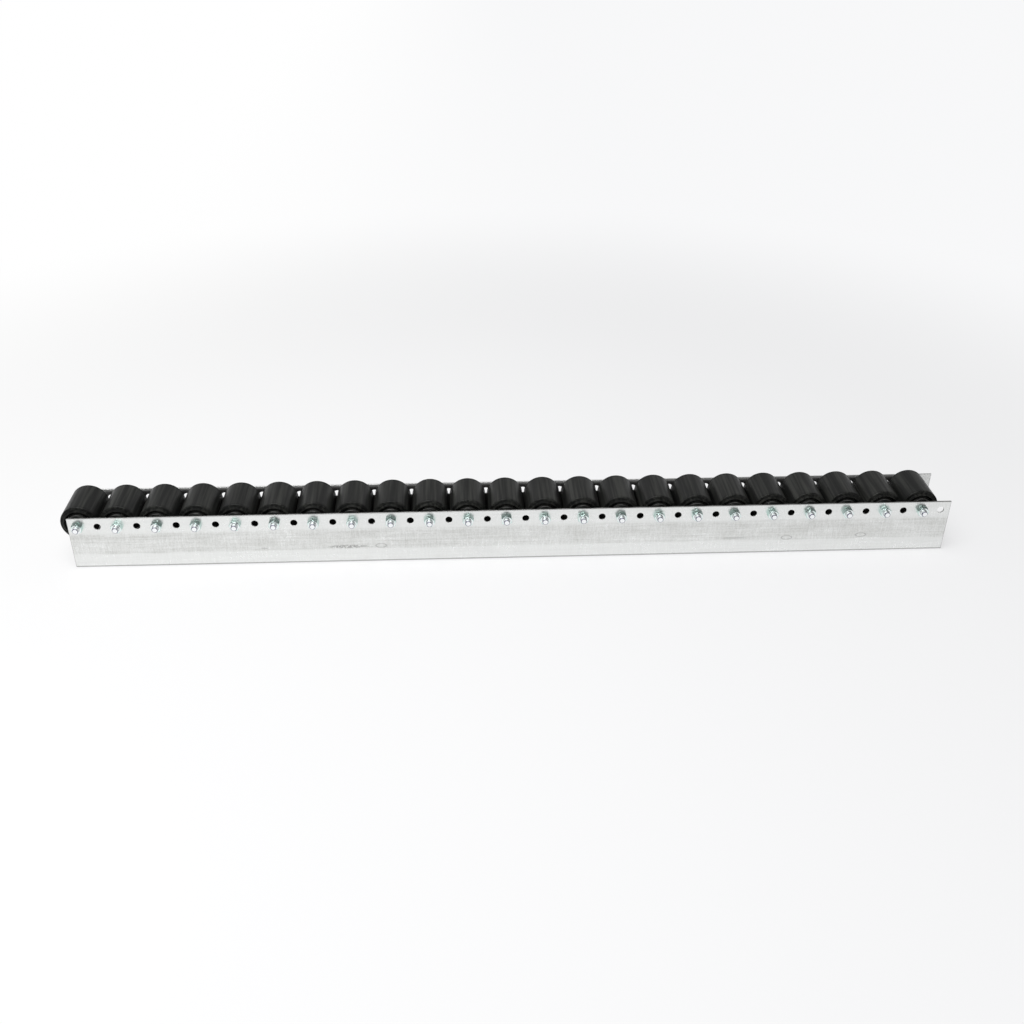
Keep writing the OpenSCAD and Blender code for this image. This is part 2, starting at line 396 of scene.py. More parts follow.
def finish_sheet(colours):
    """Galvanised sheet: a bright coat, a dull band along each wall, rolling lines, marks, and
    painted shade at the fold, the top edge and inside.
    """
    skin = Finish("zinc_coated_sheet", {})
    top = CHANNEL_HIGH.z
    near_side = skin.y < 0
    cloud = skin.noise((22, 22, 45), detail=3.0)
    rolled = skin.noise((14, 14, 460), detail=3.0, roughness=0.6)
    hatch = skin.noise((640, 640, 80))
    grain = skin.noise((560, 560, 560))

    # The band's edges waver, and the sheet's pattern is stronger inside it.
    height = skin.z + (cloud - 0.5) * 0.006
    band = skin.step(height, 0.0195, 0.0225) * (1.0 - skin.step(height, 0.0485, 0.054))
    pattern = sum((noise - 0.5) * weight for noise, weight in (
        (rolled, 0.9), (hatch, 0.65), (grain, 0.75), (cloud, 0.5)))
    dull = band * (0.40 + pattern * 1.2) + (1.0 - band) * (0.10 + pattern * 0.38)
    dull = skin.math("MAXIMUM", dull, 0.0)
    base = skin.mix(dull, colours.zinc, colours.zinc_dull)

    # Smudges and swirls on the near wall, and lines at the fold, the ends and the top edge; those
    # at the fold and the top edge are painted shade.
    smudge = skin.spot(*GRAINY_SMUDGE) * skin.step(grain, 0.35, 0.55)
    smudge += sum(skin.spot(*oval) * strength for *oval, strength in SMUDGES)
    swirls = sum(skin.swirl(*oval) for oval in SWIRLS)
    marks = (smudge * 0.7 + swirls * 0.5) * near_side
    inside = (abs(skin.y) < CHANNEL_HIGH.y - 0.001) * (skin.z < top - 0.0005)
    cut = skin.z > top - 0.0003
    # Painted shade: a dark line along the fold.
    fold = 1.0 - skin.step(abs(skin.z - 0.0019), 0.0006, 0.0015)
    ends = skin.step(abs(skin.x - MIDDLE), REACH - 0.0009, REACH - 0.0003)
    # Painted shade along the top edge: a dark line just below it on the outside, and the near
    # wall's cut edge painted dark.
    brim_shade = skin.step(skin.z, top - 0.0016, top - 0.0008) * (1.0 - cut) * (1.0 - inside)
    lines = fold * 0.75 + ends * 0.6 + brim_shade * 0.35 + cut * near_side * 0.9
    base = skin.mix(marks + lines, base, colours.marks_and_painted_shade)

    # Painted shade: the inside is painted dark, less so at its lip and not at its ends, where
    # daylight falls in; there it is also less metallic.
    below = 1.0 - skin.step(skin.z, top - 0.009, top)
    deep = 1.0 - skin.step(skin.z, 0.035, 0.050)
    clear = skin.step(abs(skin.x - MIDDLE) + deep * 0.05, REACH - 0.045, REACH - 0.006)
    lip = skin.step(skin.z, top - 0.0045, top - 0.001)
    base = skin.mix(inside * (0.10 + below * 0.85) * (1.0 - clear), base, colours.inside_painted_shade)
    skin.feed(skin.shader, "Metallic", 0.90 - inside * (clear + lip * (1.0 - clear)) * 0.45)
    skin.bump(hatch * 0.5 + grain * 0.5 + rolled * 0.4, 0.00002)
    return skin.paint(base, 0.27 + dull * 0.20 + cut * 0.05)


def finish_plate(colours):
    """Bright zinc plate, tinted on the nuts, and dull violet on the bolts' chamfers."""
    skin = Finish("zinc_plate", {"Metallic": 1.0})
    tint = skin.noise((160, 160, 160))
    grain = skin.noise((1500, 1500, 1500), detail=1.0)
    out = skin.from_axle()
    nut_face = NUTS_LOW.y - 0.0001
    nut = skin.y > nut_face
    flank = skin.step(out, 0.0058, 0.0064) * 0.6
    outer = skin.step(out, 0.0029, 0.0032)
    stud = (skin.y < nut_face) * outer
    rim = (skin.y < BOLTS_LOW.y + 0.001) * outer
    tinted = (skin.step(tint, 0.35, 0.65) * 0.25 + flank) * nut
    base = skin.mix(tinted, colours.plate, colours.plate_tint)
    base = skin.mix(stud, base, colours.thread)
    base = skin.mix(rim, base, colours.rim)
    skin.bump(grain, 0.00001)
    return skin.paint(base, 0.15 + grain * 0.12 + stud * 0.34)


def finish_plastic(colours):
    """Satin black plastic: matt as moulded, polished and streaked on the running surface."""
    skin = Finish("satin_plastic", {
        "Metallic": 0.0, "Specular IOR Level": 0.13, "Coat Roughness": 0.36})
    streak = skin.noise((260, 7, 260), detail=3.0, roughness=0.6)
    broad = skin.noise((60, 4, 60), detail=1.0)
    grain = skin.noise((1400, 300, 1400))
    rubbed = skin.step(streak * 0.8 + broad * 0.4, 0.50, 0.76)
    base = skin.mix(rubbed, colours.plastic, colours.plastic_worn)
    run = skin.step(skin.from_axle(), TREAD - 0.0012, TREAD - 0.0002)
    run = run * (1.0 - skin.step(abs(skin.y), TREAD_END - 0.0055, TREAD_END - 0.0005) * 0.6)
    skin.feed(skin.shader, "Coat Weight", run * (0.52 + (streak - 0.5) * 0.45))
    skin.bump(streak * 0.6 + grain * 0.4, 0.00002)
    return skin.paint(base, 0.42 + grain * 0.10)


def finish_steel(colours):
    """Ground steel with fine rings round each axle."""
    skin = Finish("ground_steel", {"Metallic": 1.0})
    rings = skin.rings(3200, detail=2.0)
    cloud = skin.noise((300, 300, 300))
    dark = [0.72 * level for level in colours.steel]
    base = skin.mix(rings * 0.5 + cloud * 0.3, colours.steel, dark)
    skin.bump(rings, 0.00001)
    return skin.paint(base, 0.26 + rings * 0.12)


def finish_rubber(colours):
    """Black rubber with moulded rings."""
    skin = Finish("seal_rubber", {"Metallic": 0.0})
    rings = skin.rings(2600, detail=1.0)
    cloud = skin.noise((500, 500, 500))
    base = skin.mix(cloud, colours.seal, [1.7 * level for level in colours.seal])
    skin.bump(rings, 0.00002)
    return skin.paint(base, 0.42 + cloud * 0.16)


def finish_nylon(colours):
    """Moulded nylon."""
    skin = Finish("moulded_nylon", {"Metallic": 0.0})
    cloud = skin.noise((400, 400, 400))
    base = skin.mix(cloud, colours.cage, [0.75 * level for level in colours.cage])
    return skin.paint(base, 0.45 + cloud * 0.1)


FINISHES = {"zinc_coated_sheet": finish_sheet, "zinc_plate": finish_plate,
            "satin_plastic": finish_plastic, "ground_steel": finish_steel,
            "seal_rubber": finish_rubber, "moulded_nylon": finish_nylon}


@cache
def finish_named(name):
    """The finish of this name, which is made when it is first asked for."""
    return FINISHES[name](bpy.context.scene.track_colours)


# ---- outlines and meshes ----

def rounded(corners, steps):
    """A closed outline from (radius, y, rounding) corners, with each rounded corner as an arc."""
    outline = []
    for k, (radius, y, rounding) in enumerate(corners):
        here = Vector((radius, y))
        back = (Vector(corners[k - 1][:2]) - here).normalized()
        ahead = (Vector(corners[(k + 1) % len(corners)][:2]) - here).normalized()
        half = back.angle(ahead) / 2
        if rounding == 0 or abs(half - math.pi / 2) < 0.01:
            outline.append(here)
            continue
        reach = rounding / math.tan(half)
        centre = here + (back + ahead).normalized() * (rounding / math.sin(half))
        start, end = here + back * reach - centre, here + ahead * reach - centre
        sweep = start.angle_signed(end)
        for step in range(steps + 1):
            turn = Matrix.Rotation(-sweep * step / steps, 2)
            outline.append(centre + turn @ start)
    return outline


def arc(radius, y, size, first, last, steps=8):
    """Unrounded corners on an arc round (radius, y), from one angle to another."""
    angles = [first + (last - first) * k / steps for k in range(steps + 1)]
    return [(radius + size * math.cos(angle), y + size * math.sin(angle), 0.0) for angle in angles]


def even_rings(spots):
    """Rings for ring_mesh: each holds its radius and height all the way round."""
    return [lambda angle, spot=spot: spot for spot in spots]


def ring_mesh(name, rings, steps, closed=True):
    """A mesh of rings round the Y axis; a ring gives (radius, y) at an angle.

    A closed mesh joins its last ring to its first, and an open one gets a disc at each end."""
    vertices = []
    for ring in rings:
        for step in range(steps):
            angle = TURN * step / steps
            radius, y = ring(angle)
            vertices.append((radius * math.sin(angle), y, radius * math.cos(angle)))
    count = len(rings)
    faces = []
    for row in range(count if closed else count - 1):
        after = (row + 1) % count
        for step in range(steps):
            beside = (step + 1) % steps
            faces.append((row * steps + step, after * steps + step,
                          after * steps + beside, row * steps + beside))
    if not closed:
        faces.append(list(range(steps)))
        faces.append([(count - 1) * steps + step for step in reversed(range(steps))])
    mesh = bpy.data.meshes.new(name)
    mesh.from_pydata(vertices, [], faces)
    return mesh


def turned_mesh(name, corners, arc_steps=2, steps=RING_STEPS):
    """A closed ring round the Y axis, whose section has (radius, y, rounding) corners."""
    return ring_mesh(name, even_rings(rounded(corners, arc_steps)), steps)


def tidy_normals(mesh, sharp_angle=35):
    """Turns the faces outwards and smooths all edges but the sharp ones."""
    work = bmesh.new()
    work.from_mesh(mesh)
    bmesh.ops.recalc_face_normals(work, faces=work.faces)
    work.to_mesh(mesh)
    work.free()
    mesh.shade_smooth()
    mesh.set_sharp_from_angle(angle=math.radians(sharp_angle))
    return mesh


def joined(name, meshes, same_slots=False):
    """One mesh out of several that have the same material slots, or bring one each."""
    work = bmesh.new()
    materials = list(meshes[0].materials) if same_slots else []
    for mesh in meshes:
        first_face = len(work.faces)
        work.from_mesh(mesh)
        if same_slots:
            continue
        work.faces.ensure_lookup_table()
        for face in work.faces[first_face:]:
            face.material_index = len(materials)
        materials += mesh.materials[:1]
    made = bpy.data.meshes.new(name)
    work.to_mesh(made)
    work.free()
    for material in materials:
        made.materials.append(material)
    return made


def new_piece(name, data):
    """An object of this mesh, lamp or lens in the scene."""
    piece = bpy.data.objects.new(name, data)
    bpy.context.scene.collection.objects.link(piece)
    return piece


def keep_plain(piece):
    """Replaces a piece's mesh by what its modifiers make of it."""
    graph = bpy.context.evaluated_depsgraph_get()
    mesh = bpy.data.meshes.new_from_object(piece.evaluated_get(graph))
    piece.modifiers.clear()
    piece.data = mesh
    mesh.name = piece.name
    drop_unused_slots(mesh)
    return piece


def drop_unused_slots(mesh):
    """Keeps only the material slots that faces use."""
    places = [face.material_index for face in mesh.polygons]
    used = sorted(set(places))
    kept = [mesh.materials[place] for place in used] if len(mesh.materials) else []
    mesh.materials.clear()
    for material in kept:
        mesh.materials.append(material)
    mesh.polygons.foreach_set("material_index", [used.index(place) for place in places])


def soften(piece, width, angle=30):
    """Rounds a piece's sharp edges by this width."""
    bevel = piece.modifiers.new("edges", "BEVEL")
    bevel.width = width
    bevel.segments = 2
    bevel.limit_method = "ANGLE"
    bevel.angle_limit = math.radians(angle)
    bevel.harden_normals = True
    bevel.use_clamp_overlap = True


def hexagon_mesh(name, flats, height, bore):
    """A hexagon with chamfered corners on both faces, round the Y axis from y = 0 to height."""
    flat = flats / 2
    face = flat * HEX_FACE

    def corner(angle):
        return flat / math.cos((angle + TURN / 12) % (TURN / 6) - TURN / 12)

    def drop(angle):
        return (corner(angle) - face) * HEX_SLOPE

    rings = [
        lambda angle: (face, 0.0),
        lambda angle: (corner(angle), drop(angle)),
        lambda angle: (corner(angle), height - drop(angle)),
        lambda angle: (face, height),
    ]
    if bore:
        mouth = bore * HEX_MOUTH
        sink = mouth - bore
        rings += even_rings([
            (mouth, height), (bore, height - sink), (bore, sink), (mouth, 0.0)])
    return ring_mesh(name, rings, HEX_STEPS, closed=bool(bore))


# ---- Geometry Nodes ----

class Modelling(Graph):
    """A Geometry Nodes tree under construction, with named inputs."""

    def __init__(self, name):
        super().__init__(bpy.data.node_groups.new(name, "GeometryNodeTree"))
        self.tree.interface.new_socket(
            "Geometry", in_out="OUTPUT", socket_type="NodeSocketGeometry")
        self.identifiers = {}
        self.given = self.add("NodeGroupInput")
        self.base = self.ask("Geometry", "Geometry")

    def ask(self, name, kind="Float"):
        """Adds a named input to the tree and returns what flows out of it."""
        socket = self.tree.interface.new_socket(
            name, in_out="INPUT", socket_type="NodeSocket" + kind)
        self.identifiers[name] = socket.identifier
        output = socket_of(self.given.outputs, socket.identifier)
        return Value(self, output) if kind in ("Float", "Int") else output

    def make(self, kind, values=None, **settings):
        """Adds a Geometry node of this kind and returns its first output."""
        return self.add("GeometryNode" + kind, values, **settings).outputs[0]

    def ask_row(self):
        """Asks for a row of places along X and returns its points."""
        count, first, pitch = self.ask("Count", "Int"), self.ask("First"), self.ask("Pitch")
        return self.make("MeshLine", {
            "Count": count, "Start Location": self.join(first, 0.0, self.ask("Height")),
            "Offset": self.join(pitch, 0.0, 0.0)}, mode="OFFSET")

    def ask_circle(self, between=False):
        """Asks for places round the Y axis and returns these, or the spots between them."""
        count, orbit, place = self.ask("Count", "Int"), self.ask("Orbit"), self.ask("Place")
        spots = self.make("MeshCircle", {"Vertices": count, "Radius": orbit})
        half_step = TURN / 2 / count if between else 0.0
        return self.make("Transform", {
            "Geometry": spots, "Translation": self.join(0.0, place, 0.0),
            "Rotation": self.join(TURN / 4, half_step, 0.0)})

    def copies(self, points, instance, turned=(0.0, 0.0, 0.0)):
        """An instance on every point, turned by these angles."""
        return self.make("InstanceOnPoints", {
            "Points": points, "Instance": instance, "Rotation": turned})

    def both(self, first, second):
        """Two geometries as one."""
        node = self.add("GeometryNodeJoinGeometry", {0: first})
        self.feed(node, 0, second)
        return node.outputs[0]

    def close(self, geometry):
        """Ends the tree: makes the instances real and gives the result its material."""
        real = self.make("RealizeInstances", {0: geometry})
        dressed = self.make("SetMaterial", {
            "Geometry": real, "Material": self.ask("Material", "Material")})
        self.add("NodeGroupOutput", {0: dressed})
        return self

    def work_on(self, piece, **inputs):
        """Adds the tree to a piece as a modifier; an input's name is written with _ for a space."""
        modifier = piece.modifiers.new(self.tree.name, "NODES")
        modifier.node_group = self.tree
        for name, value in inputs.items():
            modifier[self.identifiers[name.replace("_", " ")]] = value


def tree_of_holes():
    """Punches a row of round holes through whatever it is given, along Y."""
    work = Modelling("punched_holes")
    row, radius, reach = work.ask_row(), work.ask("Radius"), work.ask("Reach")
    punch = work.make("MeshCylinder", {"Vertices": RING_STEPS, "Radius": radius, "Depth": reach})
    punches = work.make("RealizeInstances", {0: work.copies(row, punch, ALONG_Y)})
    return work.close(work.make("MeshBoolean", {
        "Mesh 1": work.base, "Mesh 2": punches}, operation="DIFFERENCE", solver="EXACT"))


def tree_of_bolt():
    """Adds a threaded stud along Y to the bolt's head that it is given."""
    work = Modelling("threaded_bolt")
    start, end, radius = work.ask("Start"), work.ask("End"), work.ask("Radius")
    pitch, depth = work.ask("Thread pitch"), work.ask("Thread depth")
    threaded, chamfer = work.ask("Threaded length"), work.ask("Tip chamfer")
    rings_a_turn = 8
    crest, root = 0.12, 0.88
    turns_to_fade = 1.5
    rings = work.math("ROUND", threaded / pitch * rings_a_turn)
    stud = work.make("MeshCylinder", {
        "Vertices": THREAD_STEPS, "Side Segments": rings + 1, "Radius": 1.0, "Depth": 1.0})
    x, y, z = work.axes(work.make("InputPosition"))
    ring = (z + 0.5) * (rings + 1)
    last = ring > rings + 0.5
    along = ring * pitch / rings_a_turn * (1.0 - last) + (end - start) * last
    angle = work.math("ARCTAN2", x, y)
    tooth = abs((along / pitch - angle / TURN) % 1.0 * 2.0 - 1.0)
    groove = work.step(1.0 - tooth, crest, root) * depth
    fade = work.step((threaded - along) / pitch, 0.0, turns_to_fade)
    edge = work.math("MINIMUM", radius - groove * fade, radius - chamfer + along)
    shaped = work.make("SetPosition", {
        "Geometry": stud,
        "Position": work.join(edge * work.math("SINE", angle), start + along,
                              edge * work.math("COSINE", angle))})
    return work.close(work.both(shaped, work.base))


def tree_of_balls():
    """Makes a ring of balls round the Y axis."""
    work = Modelling("ball_ring")
    spots, radius = work.ask_circle(), work.ask("Radius")
    ball = work.make("MeshIcoSphere", {"Radius": radius, "Subdivisions": 2})
    return work.close(work.copies(spots, ball))


def tree_of_cage():
    """Adds the pins between the balls to the cage's side rings that it is given."""
    work = Modelling("cage_pins")
    spots, radius, reach = work.ask_circle(between=True), work.ask("Radius"), work.ask("Reach")
    pin = work.make("MeshCylinder", {"Vertices": PIN_STEPS, "Radius": radius, "Depth": reach})
    return work.close(work.both(work.copies(spots, pin, ALONG_Y), work.base))


def tree_of_row():
    """Repeats what it is given on every axle, at one end of the roller or at both."""
    work = Modelling("axle_row")
    row, turn, both_ends = work.ask_row(), work.ask("Turn"), work.ask("Both ends", "Bool")
    angle = (Value(work, work.make("InputIndex")) + 1.0) * turn
    near, far = [work.copies(row, work.base, work.join(0.0, angle, side))
                 for side in (0.0, TURN / 2)]
    far = work.make("Switch", {"Switch": both_ends, "True": far}, input_type="GEOMETRY")
    return work.close(work.both(near, far))


TREES = {"punched_holes": tree_of_holes, "threaded_bolt": tree_of_bolt,
         "ball_ring": tree_of_balls, "cage_pins": tree_of_cage, "axle_row": tree_of_row}


@cache
def tree_named(name):
    """The tree of this name, which is made once and shared."""
    return TREES[name]()


def repeat_on_axles(piece, finish, turn=0.0, both_ends=False):
    """Repeats a piece that is modelled round the Y axis on all the axles."""
    tree_named("axle_row").work_on(
        piece, Count=len(AXLES), First=AXLES[0].x, Pitch=PITCH, Height=AXLES[0].z,
        Turn=turn, Both_ends=both_ends, Material=finish_named(finish))


def even_faces(piece):
    """Keeps flat faces flat beside their rounded edges, by weighting the normals by area."""
    weights = piece.modifiers.new("even_faces", "WEIGHTED_NORMAL")
    weights.weight = 100
    weights.keep_sharp = True
    return keep_plain(piece)


def settle(piece, body, slot, *nodes):
    """Makes a piece plain and hands it to the frame in place of CAD nodes."""
    tidy_normals(keep_plain(piece).data)
    even_faces(piece)
    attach(piece, body)
    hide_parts(*nodes)


# ---- pieces ----

class TRACK_OT_channel(Operator):
    """Folds the channel out of galvanised sheet and punches its two rows of holes"""

    bl_idname = "roller_track.channel"
    bl_label = "Channel"

    def execute(self, context):
        sizes = context.scene.track_sizes
        low, high, sheet = CHANNEL_LOW, CHANNEL_HIGH, sizes.sheet
        fold = sizes.fold_radius
        section = rounded([
            (low.y, high.z, 0), (low.y, low.z, fold + sheet), (high.y, low.z, fold + sheet),
            (high.y, high.z, 0), (high.y - sheet, high.z, 0), (high.y - sheet, low.z + sheet, fold),
            (low.y + sheet, low.z + sheet, fold), (low.y + sheet, high.z, 0)], steps=8)
        count = len(section)
        vertices = [(x, y, z) for x in (low.x, high.x) for y, z in section]
        faces = [(k, (k + 1) % count, count + (k + 1) % count, count + k) for k in range(count)]
        faces += [list(range(count))[::-1], list(range(count, 2 * count))]
        mesh = bpy.data.meshes.new("folded_channel")
        mesh.from_pydata(vertices, [], faces)
        piece = new_piece("folded_channel", tidy_normals(mesh))
        tree_named("punched_holes").work_on(
            piece, Count=2 * len(AXLES), First=AXLES[0].x, Pitch=PITCH / 2, Height=AXLES[0].z,
            Radius=sizes.hole_radius, Reach=2 * (high.y - low.y),
            Material=finish_named("zinc_coated_sheet"))
        soften(piece, sizes.cut_edge, angle=60)
        settle(piece, TRACK_BODY, "galvanised_sheet", "channel")
        return {"FINISHED"}


class TRACK_OT_fasteners(Operator):
    """Puts a through bolt and a nut on every axle"""

    bl_idname = "roller_track.fasteners"
    bl_label = "Bolts and nuts"

    def execute(self, context):
        sizes = context.scene.track_sizes
        plate = finish_named("zinc_plate")
        head = hexagon_mesh("through_bolts", sizes.hex_flats, BOLTS_HIGH.y - CHANNEL_HIGH.y, 0)
        head.transform(Matrix.Translation((0, CHANNEL_HIGH.y, 0)))
        bolts = new_piece("through_bolts", tidy_normals(head))
        soften(bolts, sizes.hex_edge)
        into_head = 0.001
        past_nut = 0.0015
        tree_named("threaded_bolt").work_on(
            bolts, Start=BOLTS_LOW.y, End=CHANNEL_HIGH.y + into_head, Radius=sizes.bolt_radius,
            Thread_pitch=sizes.thread_pitch, Thread_depth=sizes.thread_depth,
            Threaded_length=NUTS_HIGH.y - BOLTS_LOW.y + past_nut, Tip_chamfer=sizes.tip_chamfer,
            Material=plate)
        repeat_on_axles(bolts, "zinc_plate")
        settle(bolts, TRACK_BODY, "zinc_plated_steel", "axle_bolts")

        nut = hexagon_mesh("hexagon_nuts", sizes.hex_flats, NUTS_HIGH.y - NUTS_LOW.y,
                           sizes.bolt_radius + sizes.fit)
        nut.transform(Matrix.Translation((0, NUTS_LOW.y, 0)))
        nuts = new_piece("hexagon_nuts", tidy_normals(nut))
        soften(nuts, sizes.hex_edge)
        repeat_on_axles(nuts, "zinc_plate", turn=NUT_TURN)
        settle(nuts, TRACK_BODY, "zinc_plated_steel", "axle_nuts")
        return {"FINISHED"}


class TRACK_OT_axle_parts(Operator):
    """Puts sleeves, spacer collars, inner races, balls and cages on every axle"""

    bl_idname = "roller_track.axle_parts"
    bl_label = "Sleeves, spacers and inner races"

    def execute(self, context):
        sizes = context.scene.track_sizes
        bore, edge, face = sizes.bearing_bore, sizes.race_edge, ROLLER_HIGH.y
        inner_face = face - sizes.bearing_width
        inside = CHANNEL_HIGH.y - sizes.sheet
        middle = face - sizes.bearing_width / 2
        orbit = (bore + sizes.bearing_radius) / 2

        sleeve = bore - sizes.fit
        sleeve_in = sleeve - sizes.sleeve_wall
        self.ring("sleeves", "plain_steel", "axle_sleeves", False, [
            (sleeve_in, -inside, edge), (sleeve, -inside, edge),
            (sleeve, inside, edge), (sleeve_in, inside, edge)])
        collar = bore + sizes.spacer_wall
        self.ring("spacers", "plain_steel", "spacer_collars", True, [
            (bore, face, 0), (collar, face, edge), (collar, inside, edge), (bore, inside, 0)])

        shoulder = bore + sizes.race_wall
        reach = math.acos((orbit - shoulder) / sizes.groove_radius)
        groove = arc(orbit, middle, sizes.groove_radius, TURN / 2 + reach, TURN / 2 - reach)
        self.ring("bearing_inner_races", "bearing_steel", "inner_races", True, [
            (bore, inner_face, edge), (shoulder, inner_face, edge),
            *groove, (shoulder, face, edge), (bore, face, edge)])

        balls = new_piece("balls", bpy.data.meshes.new("balls"))
        tree_named("ball_ring").work_on(
            balls, Count=sizes.ball_count, Orbit=orbit, Place=middle, Radius=sizes.ball_radius,
            Material=finish_named("ground_steel"))
        repeat_on_axles(balls, "ground_steel", both_ends=True)
        settle(balls, TRACK_BODY, "bearing_steel", "bearing_balls")
        self.cages(sizes, orbit, middle)
        return {"FINISHED"}

    def cages(self, sizes, orbit, middle):
        """Two side rails for each bearing, with pins between the balls."""
        inner, outer = orbit - sizes.cage_wall / 2, orbit + sizes.cage_wall / 2
        start = sizes.ball_radius + sizes.cage_play
        end = start + sizes.cage_rail
        round_off = sizes.cage_rail / 5
        rails = []
        for near, far in ((start, end), (-end, -start)):
            corners = [(inner, near, round_off), (outer, near, round_off),
                       (outer, far, round_off), (inner, far, round_off)]
            rails.append(turned_mesh("rail", corners, arc_steps=1))
        mesh = joined("cages", rails)
        mesh.transform(Matrix.Translation((0, middle, 0)))
        cages = new_piece("cages", tidy_normals(mesh))
        tree_named("cage_pins").work_on(
            cages, Count=sizes.ball_count, Orbit=orbit, Place=middle, Radius=sizes.cage_pin / 2,
            Reach=2 * start + sizes.cage_rail, Material=finish_named("moulded_nylon"))
        repeat_on_axles(cages, "moulded_nylon", both_ends=True)
        settle(cages, TRACK_BODY, "cage_nylon", "ball_cages")

    def ring(self, name, slot, node, both_ends, corners):
        """A turned ring on every axle."""
        piece = new_piece(name, tidy_normals(turned_mesh(name, corners)))
        repeat_on_axles(piece, "ground_steel", both_ends=both_ends)
        settle(piece, TRACK_BODY, slot, node)


class TRACK_OT_rollers(Operator):
    """Moulds the rollers, each on its own body"""

    bl_idname = "roller_track.rollers"
    bl_label = "Rollers"

    def execute(self, context):
        sizes = context.scene.track_sizes
        tread_end = sizes.tread_length / 2 + sizes.tread_round
        end = ROLLER_HIGH.y
        bore = sizes.bearing_radius - sizes.seat_step
        collar_in = sizes.collar_radius - sizes.collar_wall
        seat, hub = end - sizes.bearing_width, end - sizes.hub_setback
        pocket = end - sizes.pocket_depth
        half = [
            (bore, seat, 0.0002),
            (sizes.bearing_radius, seat, 0.0001),
            (sizes.bearing_radius, hub, 0.0003),
            (sizes.hub_radius, hub, 0.0003),
            (sizes.hub_radius, pocket, 0.0006),
            (collar_in, pocket, 0.0006),
            (collar_in, end, 0.0004),
            (sizes.collar_radius, end, 0.0004),
            (sizes.collar_radius, tread_end, 0.0006),
            (TREAD, tread_end, sizes.tread_round),
        ]
        far = [(radius, -y, rounding) for radius, y, rounding in reversed(half)]
        mesh = turned_mesh("shell", half + far, arc_steps=4, steps=ROLLER_STEPS)
        mesh.materials.append(finish_named("satin_plastic"))
        pattern = even_faces(new_piece("shell", tidy_normals(mesh, sharp_angle=50)))
        for number, (axle, body) in enumerate(zip(AXLES, ROLLER_BODIES), start=1):
            shell = pattern.data.copy()
            shell.transform(Matrix.Translation((axle.x, 0, axle.z)))
            piece = new_piece(f"shell_{number:02d}", shell)
            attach(piece, body)
            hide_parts(f"roller_{number:02d}")
        bpy.data.objects.remove(pattern)
        return {"FINISHED"}


class TRACK_OT_bearings(Operator):
    """Puts outer races and shields into the rollers' hubs"""

    bl_idname = "roller_track.bearings"
    bl_label = "Outer races and shields"

    def execute(self, context):
        sizes = context.scene.track_sizes
        outer, edge, face = sizes.bearing_radius, sizes.race_edge, ROLLER_HIGH.y
        inner_face, middle = face - sizes.bearing_width, face - sizes.bearing_width / 2
        shoulder = outer - sizes.race_wall
        orbit = (sizes.bearing_bore + outer) / 2
        seat = shoulder + sizes.shield_rebate
        seat_depth = sizes.shield + sizes.shield_setback + sizes.fit
        reach = math.acos((shoulder - orbit) / sizes.groove_radius)
        groove = arc(orbit, middle, sizes.groove_radius, reach, -reach)
        race = turned_mesh("race", [
            (outer, inner_face, edge), (outer, face, edge), (seat, face, edge / 2),
            (seat, face - seat_depth, 0), (shoulder, face - seat_depth, 0), *groove,
            (shoulder, inner_face + seat_depth, 0), (seat, inner_face + seat_depth, 0),
            (seat, inner_face, edge / 2)])
        race.materials.append(finish_named("ground_steel"))

        lip = sizes.bearing_bore + sizes.race_wall + sizes.shield_gap
        rim = seat - sizes.fit
        top = face - sizes.shield_setback
        dish = 0.0003
        bead = 0.0006
        shield = turned_mesh("shield", [
            (lip, top - sizes.shield, 0), (rim, top - sizes.shield, 0.0001),
            (rim, top - dish / 2, 0.0001), (rim - bead / 2, top, 0.0001),
            (rim - bead, top, 0.0002), (rim - 2 * bead, top - dish, 0.0003),
            (lip + bead, top - dish, 0.0003), (lip, top - 2 * dish, 0.0001)])
        shield.materials.append(finish_named("seal_rubber"))
        turned_round = Matrix.Rotation(TURN / 2, 4, "Z")
        inner_shield = shield.copy()
        inner_shield.transform(Matrix.Translation((0, 2 * middle, 0)) @ turned_round)

        one_end = joined("bearing", [tidy_normals(part) for part in (race, shield, inner_shield)])
        for number, (axle, body) in enumerate(zip(AXLES, ROLLER_BODIES), start=1):
            other_end = one_end.copy()
            other_end.transform(turned_round)
            pair = joined(f"bearings_{number:02d}", [one_end, other_end], same_slots=True)
            pair.transform(Matrix.Translation((axle.x, 0, axle.z)))
            piece = new_piece(f"bearings_{number:02d}", pair)
            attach(piece, body)
            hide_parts(f"roller_bearings_{number:02d}")
        return {"FINISHED"}


